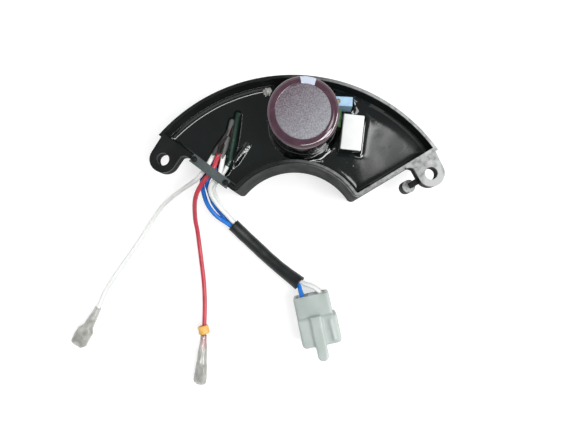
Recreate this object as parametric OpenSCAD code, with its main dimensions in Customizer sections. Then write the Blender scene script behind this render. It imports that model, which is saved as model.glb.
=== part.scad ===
// Potted automatic voltage regulator for a generator end bracket.
// A crescent tray with two mounting ears holds a circuit board under resin. A large capacitor,
// a film capacitor and a trimmer stand out of the resin, and six wires leave through one end wall.
// Millimetres. Z is up from the base, Y points to the outer arc, X runs from ear to ear.

/* [Tray] */
// Radius of the outer wall
outer_radius = 94; // [92:1:100]
// Width of the tray from the inner wall to the outer wall, at its middle
tray_width = 46.8; // [45:0.1:52]
// Distance from the outer arc's centre to the inner arc's centre
inner_offset = 9.2; // [7:0.1:11]
// Angle of each end wall from the line of symmetry
end_angle = 56; // [54:1:58]
// Height of the rim above the base
tray_height = 33; // [31:1:38]
// Thickness of the walls
wall = 2.2; // [1.8:0.1:2.8]
// Thickness of the floor
tray_floor = 2.5; // [1.5:0.1:3.5]
// Rounding of the two inner corners
corner_radius = 3; // [2:0.5:4]
// How far the step round the rim is set in
rim_step_in = 0.8; // [0.4:0.1:1.2]
// Height of the step round the rim
rim_step_height = 1.6; // [0.8:0.1:2.5]

/* [Ears] */
// Distance of each mounting hole from its end wall
ear_reach = 8.73; // [7:0.01:12]
// Distance of each mounting hole from the outer corner, along the end wall
ear_set_back = 10; // [8:0.5:12]
// Radius of the ear round its hole
ear_radius = 7; // [5.5:0.5:8]
// Distance from the hole to the inner edge of the ear's neck
ear_neck = 6.5; // [5:0.5:8]
// Radius of the hollow fillet between the ear's neck and the end wall
ear_fillet = 3.5; // [2:0.5:4]
// Thickness of the ear
ear_thickness = 7; // [4:0.5:9]
// Diameter of the mounting hole
ear_hole_d = 6.6; // [5:0.1:7.5]
// Diameter of the locating post beside one ear
post_d = 7; // [6:0.1:7.6]
// Height of the locating post's top above the base
post_height = 24; // [18:0.5:25]
// Length of the locating post
post_length = 9; // [6:0.5:14]
// Distance from the locating post to the mounting hole beside it
post_set_back = 11.2; // [11:0.1:14]
// Thickness of the web that joins the post to the ear
post_web = 3; // [2:0.1:4]

/* [Wire slot] */
// Distance from the inner corner to the middle of the slot, along the end wall
slot_set_back = 17.4; // [16.5:0.1:18.5]
// Width of the slot
slot_width = 17; // [16:0.5:19]
// Height of the slot's sill above the base
slot_sill = 22.5; // [22:0.1:23]
// Length of the clamp bar
bar_length = 23.5; // [22.5:0.1:26]
// Thickness of the clamp bar
bar_thickness = 4; // [3:0.1:4.2]
// How far the clamp bar stands out of the end wall on each side
bar_overhang = 1.3; // [0.8:0.1:1.6]
// Diameter of the stakes that hold the clamp bar
stake_d = 1.4; // [1:0.1:1.6]
// Diameter of a stake's melted head
stake_head_d = 3.2; // [2.4:0.1:3.4]
// Height of a stake's melted head
stake_head_height = 1; // [0.4:0.1:1.4]

/* [Resin] */
// Level of the resin above the base
resin_level = 21.5; // [19:0.1:22]
// Height that the resin climbs up the capacitor
resin_climb = 2.4; // [1:0.1:4]
// Radius of the resin over a buried wire
ridge_radius = 1.6; // [1.4:0.1:2]

/* [Boards] */
// Height of the floor bosses under the main board
boss_height = 3; // [2:0.1:4]
// Diameter of the floor bosses
boss_d = 5; // [4:0.5:7]
// Thickness of both circuit boards
board_thickness = 1.6; // [1:0.1:2]
// Length of the control board
control_length = 16; // [15:0.5:18]
// Height of the control board's top edge above the base
control_top = 30; // [28:0.5:32]

/* [Capacitor] */
// Diameter of the capacitor over its sleeve
capacitor_d = 35; // [30:0.5:35]
// Length of the capacitor
capacitor_length = 45; // [40:1:50]
// Place of the capacitor along X
capacitor_x = 2; // [0:0.5:4]
// Distance of the capacitor's axis from the middle of the tray, towards the inner arc
capacitor_shift = 1.5; // [0:0.1:2]
// Thickness of the capacitor's sleeve
sleeve_wall = 0.4; // [0.2:0.05:0.6]
// Rounding of the can's top edge
can_round = 3.4; // [2:0.1:4]
// Radius of the end disc inside the sleeve's lip
end_disc_radius = 13.4; // [11:0.1:14]

/* [Film capacitor] */
// Length of the film capacitor
film_length = 18.5; // [15:0.5:20]
// Width of the film capacitor
film_width = 10.9; // [8:0.1:11.5]
// Height of the film capacitor's body
film_height = 19; // [14:0.5:20]
// Height of the film capacitor's top above the base
film_top = 33; // [31:0.5:36]
// Spacing of the film capacitor's leads
film_pitch = 15; // [10:0.5:15]
// Turn of the film capacitor
film_turn = -3.5; // [-6:0.5:0]

/* [Trimmer] */
// Length of the trimmer
trimmer_length = 9.5; // [9:0.1:10.5]
// Width of the trimmer
trimmer_width = 4.8; // [4:0.1:5.5]
// Height of the trimmer
trimmer_height = 10; // [8:0.1:11]
// Height of the board's ledge that carries the trimmer
trimmer_seat = 23.5; // [23:0.1:25]
// Diameter of the adjusting screw
screw_d = 2.3; // [1.8:0.1:2.6]
// Depth of the screw's pocket
screw_depth = 2; // [1.4:0.1:3]
// Height of the screw above the trimmer's top
screw_proud = 0.5; // [0.2:0.1:1]

/* [Wires] */
// Diameter of each wire over its insulation
wire_d = 2.5; // [2:0.1:2.5]
// Inner radius of the harness sleeve
harness_bore = 3.3; // [3.2:0.05:3.6]
// Wall of the harness sleeve
harness_wall = 0.4; // [0.3:0.05:0.5]
// Wider radius of the harness sleeve at its connector end
harness_flare = 0.6; // [0:0.1:1]

/* [Connector] */
// Width of the connector's rear block
plug_width = 20.5; // [20:0.1:22]
// Height of the connector's rear block
plug_height = 14; // [13.5:0.1:15]
// Length of the connector's rear block
plug_rear = 13; // [12:0.5:15]
// Length of the connector's front shroud
shroud_length = 16; // [12:0.5:18]
// How far the shroud stands out of the rear block all round
shroud_step = 1; // [0.6:0.1:1.4]
// Wall of the shroud
shroud_wall = 1.5; // [1:0.1:2]
// Width of the latch tongue
latch_width = 6.2; // [5:0.1:7]
// Thickness of the latch tongue
latch_thickness = 2.6; // [2:0.1:3]
// How far the latch tongue reaches past the shroud
latch_reach = 8.5; // [6:0.5:10]
// Spacing of the contacts across the connector
contact_pitch_x = 10; // [9.6:0.1:10.4]
// Spacing of the contacts up the connector
contact_pitch_z = 7; // [6.8:0.1:7.2]

/* [Terminals] */
// Width of a receptacle terminal
terminal_width = 7.4; // [6.6:0.1:7.6]
// Length of a receptacle terminal from its crimp to its tip
terminal_length = 16; // [14:0.5:16]
// Length of a terminal's crimp
crimp_length = 6; // [4:0.5:7]
// Diameter of a terminal's crimp
crimp_d = 3.2; // [2.8:0.1:3.4]
// Outer diameter of the marker ring
marker_d = 6.4; // [6:0.1:7]
// Wall of the marker ring
marker_wall = 0.8; // [0.5:0.1:0.9]
// Length of the marker ring
marker_length = 5; // [4:0.5:6]

/* [Hidden] */
$fn = 64;
past = 1;              // how far a cut runs past a face
fit = 0.15;            // clearance round a piece that drops into a seat
pot_gap = 0.1;         // clearance between the resin and what it surrounds
hole_fit = 0.15;       // clearance round a lead in its board hole
screw_fit = 0.08;      // running clearance round the adjusting screw
pin_d = 0.8;           // component lead
pin_tail = 1.2;        // lead left standing under the board
board_gap = 0.8;       // clearance between the main board and the walls

// The tray's places. The origin is under the middle of the tray's box.
inner_radius = outer_radius - tray_width - inner_offset;
inner_corner_y = inner_offset + inner_radius * cos(end_angle);
frame_y = (outer_radius + inner_corner_y) / 2;
mid_y = (outer_radius + inner_offset + inner_radius) / 2 - frame_y;
corner_along = sqrt(pow(outer_radius, 2) - pow(inner_offset * sin(end_angle), 2))
    - inner_offset * cos(end_angle);
hole_along = corner_along - ear_set_back;

// A point beside an end wall: along it from the inner arc's centre, and out of the tray
function on_end(side, along, out) = [side * (along * sin(end_angle) + out * cos(end_angle)),
    inner_offset - frame_y + along * cos(end_angle) - out * sin(end_angle)];

// A point near the wire slot: along the end wall from its middle, out of the tray, and its height
function by_slot(along, out, z) = let (at = on_end(-1, slot_along + along, out)) [at.x, at.y, z];

hole_at = [for (side = [-1, 1]) on_end(side, hole_along, ear_reach)];
post_at = on_end(1, hole_along - post_set_back, ear_reach);
slot_along = inner_radius + slot_set_back;
bar_sill = tray_height - bar_thickness;
stake_along = [for (side = [-1, 1]) slot_along + side * (slot_width + bar_length) / 4];

// Levels of the boards, and where the pieces on them stand
board_base = tray_floor + boss_height;
board_top = board_base + board_thickness;
middle_ring = mid_y + frame_y;
// A point by its angle about the outer arc's centre and its distance outside the tray's middle line
function on_ring(angle, out) = [(middle_ring + out) * sin(angle),
    (middle_ring + out) * cos(angle) - frame_y];
boss_at = [for (angle = [-46, -20, 20, 46]) on_ring(angle, 0)];
capacitor_at = [capacitor_x, mid_y - capacitor_shift];
capacitor_top = board_top + capacitor_length;
capacitor_pin_pitch = 10;
control_gap = 0.7;     // from the capacitor to the control board
control_back = 1;      // from the capacitor's axis to the control board's near end
control_tab = 4;       // width of a tab
control_tab_inset = 3; // from the board's end to a tab
control_x = capacitor_x + capacitor_d / 2 + control_gap;
control_y = capacitor_at.y - control_back;
film_gap = 0.6;        // from the control board to the film capacitor
film_back = 4;         // from the capacitor's axis to the film capacitor's middle
film_at = [control_x + board_thickness + film_gap + film_width / 2, capacitor_at.y - film_back];
trimmer_pitch = 2.54;
trimmer_inset = 3.4;   // from the control board's far end to the trimmer's middle
trimmer_at = [control_x + board_thickness / 2 + trimmer_pitch / 2,
    control_y + control_length - trimmer_inset];
ledge_spare = 0.7;     // from the trimmer's side to the end of its ledge
trimmer_ledge = trimmer_width + 2 * ledge_spare;
screw_inset = 2;       // from the trimmer's end to the screw
screw_at = trimmer_at - [trimmer_length / 2 - screw_inset, 0];
trimmer_top = trimmer_seat + trimmer_height;
bridge_at = on_ring(-25, 5);
transistor_at = on_ring(-40, 7);
optocoupler_at = on_ring(30.5, 12.5);
driver_at = on_ring(42, 12);
resistor_pitch = 4.6;
resistor_at = [for (i = [0:2]) on_ring(34, 2.5) - [0, i * resistor_pitch]];
zener_pitch = 4;
zener_at = [for (i = [0:1]) on_ring(-25.5, -8) - [0, i * zener_pitch]];
dab_inset = 2.6;       // from the outer wall to the dab's middle
dab_at = on_ring(-12, tray_width / 2 - wall - dab_inset);

// Frame of a piece on a wire: its mouth, and its heading measured from -Y towards +X
plug_at = [11, -85.5, 0];
plug_heading = 15;
white_mouth = [-117, -108.4, 2.7];
white_heading = -26.5;
red_mouth = [-50.3, -125, 4.4];
red_heading = -1.5;
red_roll = 50;
contact_recess = 4;
plug_mid_z = shroud_step + plug_height / 2;
contact_z = [plug_mid_z - contact_pitch_z / 2, plug_mid_z + contact_pitch_z / 2];
function forward(heading) = [sin(heading), -cos(heading), 0];
function contact_mouth(side, row) = plug_at + contact_recess * forward(plug_heading)
    + side * contact_pitch_x / 2 * [cos(plug_heading), sin(plug_heading), 0] + [0, 0, contact_z[row]];
function run_in(mouth, heading, length) = [mouth - length * forward(heading), mouth];
plug_run = 5;                     // straight wire behind a contact
sleeve_back = 8.5;                // from a terminal's mouth to its sleeve's end on the wire
terminal_run = sleeve_back + 0.5; // straight wire behind a terminal

// Routes of the free wires, from the resin to their far ends
harness_route = [[-36, -48, 6], [-24, -58.5, 3.9], [-10, -70, 4.2], [4.5, -80, 7]];
bundle = 1.3;
white_lead_route = concat([by_slot(5.7, -9, 24), by_slot(4.1, -2.7, 27.4), by_slot(4.1, 4.4, 26.9),
    by_slot(5.9, 9.2, 23.8), by_slot(9.7, 16.1, 18)], [[-71, -34.4, 11], [-78, -40, 6], [-84, -48, 3],
    [-90, -58, 1.6], [-97.5, -70, 1.4], [-104, -80.4, 1.4], [-110, -91, 1.6]],
    run_in(white_mouth, white_heading, terminal_run));
red_lead_route = concat([by_slot(3.6, -11.4, 25.6), by_slot(0.6, -2.8, 27.5), by_slot(0.7, 4.5, 27.4),
    by_slot(0.7, 11.3, 25), by_slot(-0.3, 17.8, 19.2)], [[-57.2, -45.8, 10], [-56.8, -52, 5.4],
    [-56, -60, 2.2], [-54.2, -71, 1.5], [-52.2, -83, 1.4], [-51, -95, 1.6], [-50.4, -107, 2.6]],
    run_in(red_mouth, red_heading, terminal_run));
blue_a_route = concat([by_slot(2.8, -8.4, 22.9), by_slot(3, -2.9, 23.9), by_slot(3, 4.5, 23.9),
    by_slot(-0.8, 10, 21.2), by_slot(-6.2, 15.3, 13.6), by_slot(-13.4, 17.5, 8.9)],
    beside(harness_route, bundle, bundle), [[5, -84, 10]],
    run_in(contact_mouth(-1, 1), plug_heading, plug_run));
blue_b_route = concat([by_slot(-0.3, -8.4, 22.9), by_slot(0.2, -2.8, 23.9), by_slot(0, 4.4, 23.9),
    by_slot(-3.5, 8.5, 19.6), by_slot(-7.9, 12.9, 11.4), by_slot(-14.4, 15.3, 6.2)],
    beside(harness_route, bundle, -bundle), [[5, -84, 4.9]],
    run_in(contact_mouth(-1, 0), plug_heading, plug_run));
white_a_route = concat([by_slot(1.1, -12.3, 25), by_slot(-3.6, -2.8, 27.5), by_slot(-3.7, 4.5, 27.3),
    by_slot(-6, 8.7, 23.8), by_slot(-11.3, 11.6, 16.8), by_slot(-17.1, 13.3, 10.8)],
    beside(harness_route, -bundle, bundle), [[10.2, -80.6, 10.2]],
    run_in(contact_mouth(1, 1), plug_heading, plug_run));
white_b_route = concat([by_slot(-3.6, -8.5, 23.3), by_slot(-4.4, -2.8, 23.9), by_slot(-4.5, 4.4, 23.9),
    by_slot(-7.1, 8.2, 18.6), by_slot(-11.8, 11.3, 10.8), by_slot(-17.8, 13.3, 6)],
    beside(harness_route, -bundle, -bundle), [[10.2, -80.6, 4.8]],
    run_in(contact_mouth(1, 0), plug_heading, plug_run));
marker_at = [-50.4, -110.5, marker_d / 2];

// Routes of the resin over the buried wires, each ending where a wire comes out
coat_lap = 0.6; // part of the wire's first step that its coat runs back over
function coat_end(route) = [route[0] + coat_lap * (route[0] - route[1]), route[0]];
coat_routes = [
    concat([by_slot(7.4, -25.2, 20.5), by_slot(6.7, -17.9, 21.8)], coat_end(white_lead_route)),
    concat([by_slot(6.9, -28, 21), by_slot(5.5, -20.5, 22.6)], coat_end(red_lead_route)),
    concat([by_slot(9.4, -29.9, 21.2), by_slot(5.4, -21.1, 22.6)], coat_end(white_a_route)),
    concat([by_slot(9.1, -34.9, 21.2), by_slot(2.6, -23, 22.2), by_slot(-0.9, -15.7, 22.6)],
        coat_end(white_b_route)),
    concat([by_slot(4.1, -16.6, 20)], coat_end(blue_a_route)),
    concat([by_slot(0.5, -16.6, 20)], coat_end(blue_b_route)),
    [by_slot(-5.1, -24.6, 20.6), by_slot(-5.1, -17.4, 21.4), by_slot(-5.6, -10.6, 21.2)]];

// Sweep along a route: directions, rings and faces
function unit(v) = v / norm(v);
function heading_at(route, i) = unit(route[min(i + 1, len(route) - 1)] - route[max(i - 1, 0)]);
function side_at(route, i) = unit(cross(heading_at(route, i), [0, 0, 1]));
function beside(route, side, up) = [for (i = [0:len(route) - 1])
    route[i] + side * side_at(route, i) + [0, 0, up]];
function ring(route, i, radius, sides) = let (s = side_at(route, i), u = cross(s, heading_at(route, i)))
    [for (k = [0:sides - 1]) route[i] + radius * (cos(360 * k / sides) * s + sin(360 * k / sides) * u)];
function skin(first, rings, sides, flip) = [for (i = [0:rings - 2], k = [0:sides - 1])
    let (a = first + i * sides + k, b = first + i * sides + (k + 1) % sides)
    flip ? [a, a + sides, b + sides, b] : [a, b, b + sides, a + sides]];
function rim_faces(first, second, sides, flip) = [for (k = [0:sides - 1])
    let (n = (k + 1) % sides)
    flip ? [first + k, second + k, second + n, first + n] : [first + k, first + n, second + n, second + k]];

// A solid tube along a route
module cord(route, radius, sides = 8) {
    rings = len(route);
    points = [for (i = [0:rings - 1]) each ring(route, i, radius, sides)];
    start = [for (k = [0:sides - 1]) sides - 1 - k];
    finish = [for (k = [0:sides - 1]) (rings - 1) * sides + k];
    polyhedron(points, concat([start], skin(0, rings, sides, false), [finish]));
}

// A hollow solid between two sets of rings of the same count
module hollow_loft(outside, inside, rings, sides) {
    last = (rings - 1) * sides;
    count = rings * sides;
    polyhedron(concat(outside, inside), concat(
        skin(0, rings, sides, false), skin(count, rings, sides, true),
        rim_faces(0, count, sides, true), rim_faces(last, count + last, sides, false)));
}

// The tray's outline in plan, set in from its outer faces
module crescent(inset) {
    apex = [0, inner_offset - frame_y + inset / sin(end_angle)];
    reach = 3 * outer_radius;
    difference() {
        intersection() {
            translate([0, -frame_y]) circle(outer_radius - inset, $fn = 180);
            polygon([apex, apex + reach * [sin(end_angle), cos(end_angle)], [0, 2 * reach],
                apex + reach * [-sin(end_angle), cos(end_angle)]]);
        }
        translate([0, inner_offset - frame_y]) circle(inner_radius + inset, $fn = 120);
        if (corner_radius - inset > least_round)
            for (side = [-1, 1]) inner_corner_cut(side, inset, corner_radius - inset);
    }
}

// What rounding takes off one inner corner. The round meets both walls at a slight angle.
least_round = 0.3;
meeting_angle = 8;
module inner_corner_cut(side, inset, radius) {
    arc = inner_radius + inset;
    near = radius * cos(meeting_angle);
    along = sqrt(pow(arc + near, 2) - pow(inset + near, 2));
    shrink = (arc - past) / (arc + near);
    centre = on_end(side, along, -inset - near);
    difference() {
        polygon([centre, on_end(side, along, past - inset),
            on_end(side, sqrt(pow(arc, 2) - pow(inset, 2)) - past, past - inset),
            on_end(side, along * shrink, -(inset + near) * shrink)]);
        translate(centre) circle(radius);
    }
}

// Places children at the left end wall: x runs along it, y runs out of the tray
module left_end(along, out, z) {
    at = on_end(-1, along, out);
    translate([at.x, at.y, z]) rotate([0, 0, 90 + end_angle]) children();
}

// Places children on a wire's end: y runs forward from the mouth
module on_wire(mouth, heading, roll = 0) {
    translate(mouth) rotate([0, 0, heading + 180]) rotate([0, roll, 0]) children();
}

// Where a line from a point touches a circle, on the given hand
function touch(from, centre, radius, hand) = let (way = from - centre,
    turn = atan2(way.y, way.x) + hand * acos(radius / norm(way)))
    centre + radius * [cos(turn), sin(turn)];

module ear_outline(side) {
    hole = hole_at[side > 0 ? 1 : 0];
    near = on_end(side, hole_along - ear_neck, -wall / 2);
    far = on_end(side, corner_along - wall, -wall / 2);
    translate(hole) circle(ear_radius);
    polygon([near, touch(near, hole, ear_radius, side), hole, touch(far, hole, ear_radius, -side), far]);
    neck_fillet(side);
}

// Hollow fillet beside the ear's neck. Its round meets the wall and the neck at a slight angle.
module neck_fillet(side) {
    neck = hole_along - ear_neck;
    away = ear_fillet * cos(meeting_angle);
    difference() {
        polygon([on_end(side, neck - away, -wall / 2), on_end(side, neck + past, -wall / 2),
            on_end(side, neck + past, away), on_end(side, neck - away, away)]);
        translate(on_end(side, neck - away, away)) circle(ear_fillet);
    }
}

// Locating post, with the web that hangs it under the ear
module locating_post() {
    web_end = hole_at[1] - (ear_hole_d / 2 + post_web / 2) * unit(hole_at[1] - post_at);
    way = web_end - post_at;
    web_rise = 1;
    post_base = post_height - post_length;
    web_base = post_base + web_rise;
    translate([post_at.x, post_at.y, post_base]) cylinder(d = post_d, h = post_length);
    translate([post_at.x, post_at.y, web_base]) rotate([0, 0, atan2(way.y, way.x)])
        translate([0, -post_web / 2, 0])
        cube([norm(way), post_web, tray_height - ear_thickness / 2 - web_base]);
}

module bar_seat() {
    cut = bar_overhang + past;
    left_end(slot_along, 0, bar_sill)
        translate([-bar_length / 2 - fit, -wall - cut, 0])
        cube([bar_length + 2 * fit, wall + 2 * cut, bar_thickness + past]);
    left_end(slot_along, 0, slot_sill)
        translate([-slot_width / 2, -wall - past, 0])
        cube([slot_width, wall + 2 * past, tray_height]);
}

module stakes() {
    for (along = stake_along) left_end(along, -wall / 2, bar_sill) {
        cylinder(d = stake_d, h = bar_thickness + stake_head_height / 2, $fn = 24);
        translate([0, 0, bar_thickness]) cylinder(d1 = stake_head_d, d2 = stake_d,
            h = stake_head_height, $fn = 24);
    }
}

module bosses(grow = 0) {
    for (at = boss_at) translate([at.x, at.y, tray_floor])
        cylinder(d = boss_d + 2 * grow, h = boss_height, $fn = 32);
}

module case() {
    ear_base = tray_height - ear_thickness;
    color("#26292a") {
        difference() {
            union() {
                linear_extrude(tray_height - rim_step_height) crescent(0);
                linear_extrude(tray_height) crescent(rim_step_in);
                for (side = [-1, 1]) translate([0, 0, ear_base])
                    linear_extrude(ear_thickness) ear_outline(side);
                locating_post();
            }
            translate([0, 0, tray_floor]) linear_extrude(tray_height) crescent(wall);
            for (at = hole_at) translate([at.x, at.y, -past])
                cylinder(d = ear_hole_d, h = tray_height + 2 * past);
            bar_seat();
        }
        bosses();
        stakes();
    }
}

module clamp_bar() {
    width = wall + 2 * bar_overhang;
    color("#4a5556") left_end(slot_along, 0, bar_sill) difference() {
        translate([-bar_length / 2, -wall - bar_overhang, 0]) cube([bar_length, width, bar_thickness]);
        for (along = stake_along) translate([along - slot_along, -wall / 2, -past])
            cylinder(d = stake_d + 2 * fit, h = bar_thickness + 2 * past, $fn = 24);
    }
}

// Everything that stands in the resin, grown by its clearance
module buried(grow) {
    bosses(grow);
    translate([0, 0, board_base]) linear_extrude(board_thickness + grow)
        crescent(wall + board_gap - grow);
    translate([capacitor_at.x, capacitor_at.y, board_base])
        cylinder(d = capacitor_d + 2 * grow, h = capacitor_top);
    capacitor_pin_shapes(grow);
    control_shape(grow);
    film_shape(grow);
    film_lead_shapes(grow);
    trimmer_pin_shapes(grow);
    bridge_shape(grow);
    transistor_shape(grow);
    chip_shape(optocoupler_at, 3, grow);
    chip_shape(driver_at, 4, grow);
    for (at = resistor_at) axial_shape(at, resistor_size, grow);
    for (at = zener_at) axial_shape(at, zener_size, grow);
}

// Resin climbing the capacitor's side
module climb() {
    intersection() {
        translate([capacitor_at.x, capacitor_at.y, resin_level]) rotate_extrude($fn = 96)
            translate([capacitor_d / 2 + pot_gap, 0]) difference() {
                translate([0, -past]) square([resin_climb, resin_climb + past]);
                translate([resin_climb, resin_climb]) circle(resin_climb);
            }
        linear_extrude(tray_height) crescent(wall + pot_gap);
    }
}

module potting_resin() {
    color("#1e2424") difference() {
        union() {
            translate([0, 0, tray_floor]) linear_extrude(resin_level - tray_floor)
                crescent(wall + pot_gap);
            climb();
            for (route = coat_routes) cord(route, ridge_radius);
        }
        buried(pot_gap);
    }
}

// Board holes for a list of leads
module lead_holes(spots, d) {
    for (at = spots) translate([at.x, at.y, board_base - past])
        cylinder(d = d + 2 * hole_fit, h = board_thickness + 2 * past, $fn = 16);
}

module main_board() {
    color("#2f6b34") difference() {
        translate([0, 0, board_base]) linear_extrude(board_thickness) crescent(wall + board_gap);
        capacitor_pin_shapes(hole_fit);
        control_tabs(hole_fit);
        lead_holes(film_leads, pin_d);
        lead_holes(bridge_leads, pin_d);
        lead_holes(transistor_leads, pin_d);
        lead_holes(chip_leads(optocoupler_at, 3), pin_d);
        lead_holes(chip_leads(driver_at, 4), pin_d);
        for (at = resistor_at) lead_holes(axial_leads(at, resistor_size), pin_d);
        for (at = zener_at) lead_holes(axial_leads(at, zener_size), pin_d);
    }
}

// Tabs of the control board that stand in slots of the main board
module control_tabs(grow = 0) {
    for (along = [control_tab_inset, control_length - control_tab_inset - control_tab])
        translate([control_x - grow, control_y + along - grow, board_base - past * grow])
        cube([board_thickness + 2 * grow, control_tab + 2 * grow, board_thickness + 2 * past * grow]);
}

module control_shape(grow = 0) {
    difference() {
        translate([control_x - grow, control_y - grow, board_top])
            cube([board_thickness + 2 * grow, control_length + 2 * grow, control_top - board_top]);
        translate([control_x - past, trimmer_at.y - trimmer_ledge / 2, trimmer_seat])
            cube([board_thickness + 2 * past, control_length, control_top]);
    }
}

module control_board() {
    color("#46783a") {
        control_shape();
        control_tabs();
    }
}

// Half section of a can with a rounded top edge
module can_section(radius, height, rounding) {
    difference() {
        square([radius, height]);
        translate([radius - rounding, height - rounding]) difference() {
            square(rounding + past);
            circle(rounding);
        }
    }
}

module at_capacitor(z) {
    translate([capacitor_at.x, capacitor_at.y, z]) children();
}

module capacitor_can() {
    color("#b9bcc0") at_capacitor(board_top) rotate_extrude($fn = 96)
        can_section(capacitor_d / 2 - sleeve_wall, capacitor_length - sleeve_wall, can_round);
}

module capacitor_sleeve() {
    color("#5c3c4b") at_capacitor(board_top) rotate_extrude($fn = 96) difference() {
        can_section(capacitor_d / 2, capacitor_length, can_round + sleeve_wall);
        can_section(capacitor_d / 2 - sleeve_wall, capacitor_length - sleeve_wall, can_round);
        translate([0, capacitor_length / 2]) square([end_disc_radius, capacitor_length]);
    }
}

module capacitor_end_disc() {
    color("#91848e") at_capacitor(capacitor_top - sleeve_wall)
        cylinder(r = end_disc_radius - fit, h = sleeve_wall, $fn = 96);
}

module capacitor_pin_shapes(grow = 0) {
    blade = [0.8, 1.6];
    for (side = [-1, 1]) at_capacitor(board_base - pin_tail - grow)
        translate([side * capacitor_pin_pitch / 2 - blade.x / 2 - grow, -blade.y / 2 - grow, 0])
        cube([blade.x + 2 * grow, blade.y + 2 * grow, board_thickness + pin_tail + grow]);
}

module capacitor_pins() {
    color("#c9c9c4") capacitor_pin_shapes();
}

module at_film(z) {
    translate([film_at.x, film_at.y, z]) rotate([0, 0, film_turn]) children();
}

module film_shape(grow = 0) {
    at_film(film_top - film_height - grow)
        translate([-film_width / 2 - grow, -film_length / 2 - grow, 0])
        cube([film_width + 2 * grow, film_length + 2 * grow, film_height + grow]);
}

film_leads = [for (side = [-1, 1]) film_at
    + side * film_pitch / 2 * [-sin(film_turn), cos(film_turn)]];

module film_lead_shapes(grow = 0) {
    for (at = film_leads) lead(at, film_top - film_height, grow);
}

// A straight lead from under the board up to a height
module lead(at, top, grow = 0) {
    translate([at.x, at.y, board_base - pin_tail - grow])
        cylinder(d = pin_d + 2 * grow, h = top - board_base + pin_tail + grow, $fn = 16);
}

module film_capacitor() {
    color("#eceeea") film_shape();
}

module film_capacitor_leads() {
    color("#c9c9c4") film_lead_shapes();
}

module trimmer_body() {
    color("#b4d7f5") difference() {
        translate([trimmer_at.x - trimmer_length / 2, trimmer_at.y - trimmer_width / 2, trimmer_seat])
            cube([trimmer_length, trimmer_width, trimmer_height]);
        translate([screw_at.x, screw_at.y, trimmer_top - screw_depth])
            cylinder(d = screw_d + 2 * screw_fit, h = screw_depth + past, $fn = 32);
    }
}

module trimmer_screw() {
    slot = [screw_d + 2 * past, 0.5, 0.8];
    length = screw_depth - screw_fit + screw_proud;
    color("#c8a24a") translate([screw_at.x, screw_at.y, trimmer_top - screw_depth + screw_fit]) difference() {
        cylinder(d = screw_d, h = length, $fn = 32);
        translate([-slot.x / 2, -slot.y / 2, length - slot.z]) cube([slot.x, slot.y, slot.z + past]);
    }
}

module trimmer_pin_shapes(grow = 0) {
    drop = 3;
    d = 0.5;
    for (i = [-1:1]) translate([trimmer_at.x + i * trimmer_pitch, trimmer_at.y, trimmer_seat - drop - grow])
        cylinder(d = d + 2 * grow, h = drop + grow, $fn = 16);
}

module trimmer_pins() {
    color("#c9c9c4") trimmer_pin_shapes();
}

// A lead that leaves a body level and turns down through the board
module bent_lead(from, to, z, grow = 0) {
    way = to - from;
    translate([from.x, from.y, z]) rotate([0, 0, atan2(way.y, way.x)]) translate([0, -pin_d / 2 - grow,
        -pin_d / 2 - grow]) cube([norm(way) + pin_d / 2 + grow, pin_d + 2 * grow, pin_d + 2 * grow]);
    lead(to, z, grow);
}

bridge_size = [15, 10.5, 4.2];
bridge_leads = [for (i = [0:3]) bridge_at + [(i - 1.5) * 3.8, -bridge_size.y / 2 - 2]];

module bridge_shape(grow = 0) {
    translate([bridge_at.x - bridge_size.x / 2 - grow, bridge_at.y - bridge_size.y / 2 - grow, board_top])
        cube([bridge_size.x + 2 * grow, bridge_size.y + 2 * grow, bridge_size.z + grow]);
    for (at = bridge_leads)
        bent_lead([at.x, bridge_at.y - bridge_size.y / 2 + grow], at, board_top + bridge_size.z / 2, grow);
}

module bridge_rectifier() {
    color("#1b1b1b") bridge_shape();
}

transistor_size = [10, 9.2, 4.4];
tab_size = [10, 6.4, 1.3];
transistor_leads = [for (i = [-1:1]) transistor_at + [i * 2.54, -transistor_size.y / 2 - 3]];

module transistor_shape(grow = 0) {
    translate([transistor_at.x - transistor_size.x / 2 - grow,
        transistor_at.y - transistor_size.y / 2 - grow, board_top])
        cube([transistor_size.x + 2 * grow, transistor_size.y + 2 * grow, transistor_size.z + grow]);
    translate([transistor_at.x - tab_size.x / 2 - grow, transistor_at.y + transistor_size.y / 2 - grow,
        board_top]) cube([tab_size.x + 2 * grow, tab_size.y + 2 * grow, tab_size.z + grow]);
    for (at = transistor_leads) bent_lead([at.x, transistor_at.y - transistor_size.y / 2 + grow], at,
        board_top + transistor_size.z / 2, grow);
}

module power_transistor() {
    color("#202224") transistor_shape();
}

// A chip in a two-row package, with the given number of legs a row
chip_size = [6.2, 3.4]; // width and height
chip_row = 7.62;
chip_pitch = 2.54;
function chip_leads(at, legs) = [for (i = [0:legs - 1], side = [-1, 1])
    at + [side * chip_row / 2, (i - (legs - 1) / 2) * chip_pitch]];

module chip_shape(at, legs, grow = 0) {
    length = legs * chip_pitch - 0.6;
    translate([at.x - chip_size.x / 2 - grow, at.y - length / 2 - grow, board_top])
        cube([chip_size.x + 2 * grow, length + 2 * grow, chip_size.y + grow]);
    for (to = chip_leads(at, legs))
        bent_lead([at.x + sign(to.x - at.x) * (chip_size.x / 2 - grow), to.y], to,
            board_top + chip_size.y / 2, grow);
}

module optocoupler() {
    color("#e6e6e0") chip_shape(optocoupler_at, 3);
}

module driver_chip() {
    color("#1b1b1b") chip_shape(driver_at, 4);
}

// An axial piece that lies on the board, with both leads turned down
axial_lead_run = 2.6;
resistor_size = [9, 3.4]; // length and diameter
zener_size = [4.4, 2.6];
function axial_leads(at, size) = [for (side = [-1, 1]) at + [side * (size[0] / 2 + axial_lead_run), 0]];

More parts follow.
